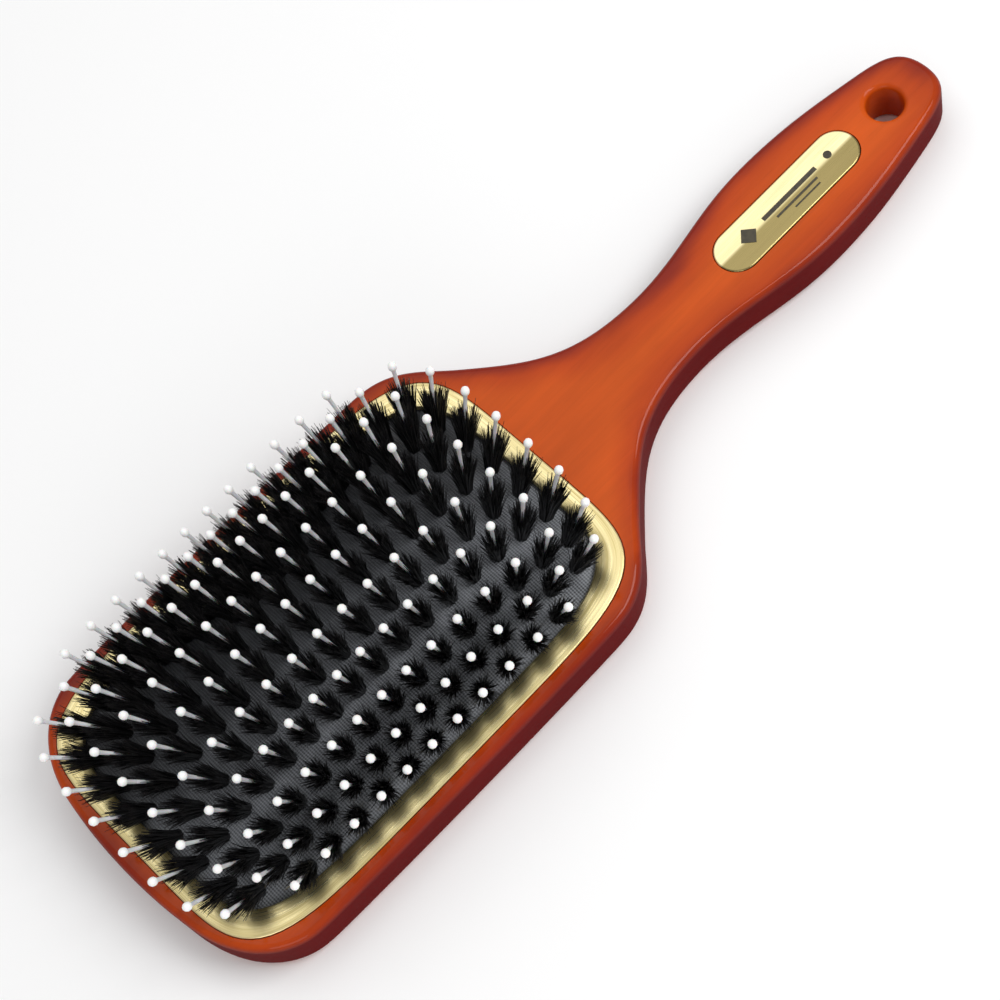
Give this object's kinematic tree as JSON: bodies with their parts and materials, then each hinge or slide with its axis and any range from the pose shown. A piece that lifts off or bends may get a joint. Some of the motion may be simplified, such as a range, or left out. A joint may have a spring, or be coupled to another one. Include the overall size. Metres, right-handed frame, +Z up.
{
  "type": "paddle hairbrush",
  "caption": "Square paddle hairbrush: one-piece wooden head and handle, gold trim ring, sprung rubber cushion with rows of bristle tufts and ball-tipped pins, blank badge and hanging hole.",
  "frame": {"origin": "on the flat back, midway across and in the middle of the head's length", "axes": "+X across the brush, +Y along the handle to the hanging hole, +Z up from the back through the bristles"},
  "size_m": [0.0836, 0.2505, 0.0369],
  "materials": {
    "lacquered_wood": "cherry-red gloss lacquer over a burst stain",
    "brushed_brass": "pale gold, brushed and bright",
    "polished_brass": "pale gold, polished",
    "black_rubber": "matt, finely ribbed",
    "adhesive_film": "double-sided adhesive film",
    "boar_bristle": "black natural bristle bundled in tufts",
    "white_nylon": "translucent white nylon"
  },
  "bodies": {
    "body": {"wood_body": "lacquered_wood", "trim_ring": "brushed_brass", "cushion_membrane": "black_rubber", "badge_plate": "polished_brass", "badge_adhesive": "adhesive_film"},
    "row_a": {"tuft_row_a": "boar_bristle", "pin_row_a": "white_nylon"},
    "row_b": {"tuft_row_b": "boar_bristle", "pin_row_b": "white_nylon"},
    "row_c": {"tuft_row_c": "boar_bristle", "pin_row_c": "white_nylon"},
    "row_d": {"tuft_row_d": "boar_bristle", "pin_row_d": "white_nylon"},
    "row_e": {"tuft_row_e": "boar_bristle", "pin_row_e": "white_nylon"},
    "row_f": {"tuft_row_f": "boar_bristle", "pin_row_f": "white_nylon"},
    "row_g": {"tuft_row_g": "boar_bristle", "pin_row_g": "white_nylon"},
    "row_h": {"tuft_row_h": "boar_bristle", "pin_row_h": "white_nylon"},
    "row_i": {"tuft_row_i": "boar_bristle", "pin_row_i": "white_nylon"},
    "row_j": {"tuft_row_j": "boar_bristle", "pin_row_j": "white_nylon"}
  },
  "joints": [
    {"name": "row_a_press", "type": "slide", "parent": "body", "child": "row_a", "axis": [0, 0, -1], "range_m": [0, 0.000689], "stiffness_N_per_m": 400},
    {"name": "row_b_press", "type": "slide", "parent": "body", "child": "row_b", "axis": [0, 0, -1], "range_m": [0, 0.00136], "stiffness_N_per_m": 400},
    {"name": "row_c_press", "type": "slide", "parent": "body", "child": "row_c", "axis": [0, 0, -1], "range_m": [0, 0.00189], "stiffness_N_per_m": 400},
    {"name": "row_d_press", "type": "slide", "parent": "body", "child": "row_d", "axis": [0, 0, -1], "range_m": [0, 0.00229], "stiffness_N_per_m": 400},
    {"name": "row_e_press", "type": "slide", "parent": "body", "child": "row_e", "axis": [0, 0, -1], "range_m": [0, 0.0024], "stiffness_N_per_m": 400, "deforming": ["cushion_membrane"]},
    {"name": "row_f_press", "type": "slide", "parent": "body", "child": "row_f", "axis": [0, 0, -1], "range_m": [0, 0.00241], "stiffness_N_per_m": 400},
    {"name": "row_g_press", "type": "slide", "parent": "body", "child": "row_g", "axis": [0, 0, -1], "range_m": [0, 0.00229], "stiffness_N_per_m": 400},
    {"name": "row_h_press", "type": "slide", "parent": "body", "child": "row_h", "axis": [0, 0, -1], "range_m": [0, 0.00189], "stiffness_N_per_m": 400},
    {"name": "row_i_press", "type": "slide", "parent": "body", "child": "row_i", "axis": [0, 0, -1], "range_m": [0, 0.00136], "stiffness_N_per_m": 400},
    {"name": "row_j_press", "type": "slide", "parent": "body", "child": "row_j", "axis": [0, 0, -1], "range_m": [0, 0.000689], "stiffness_N_per_m": 400}
  ],
  "couplings": [
    {"joint": "row_a_press", "follows": "row_e_press", "ratio": 0.283},
    {"joint": "row_b_press", "follows": "row_e_press", "ratio": 0.561},
    {"joint": "row_c_press", "follows": "row_e_press", "ratio": 0.785},
    {"joint": "row_d_press", "follows": "row_e_press", "ratio": 0.949},
    {"joint": "row_f_press", "follows": "row_e_press", "ratio": 1},
    {"joint": "row_g_press", "follows": "row_e_press", "ratio": 0.949},
    {"joint": "row_h_press", "follows": "row_e_press", "ratio": 0.785},
    {"joint": "row_i_press", "follows": "row_e_press", "ratio": 0.561},
    {"joint": "row_j_press", "follows": "row_e_press", "ratio": 0.283}
  ]
}
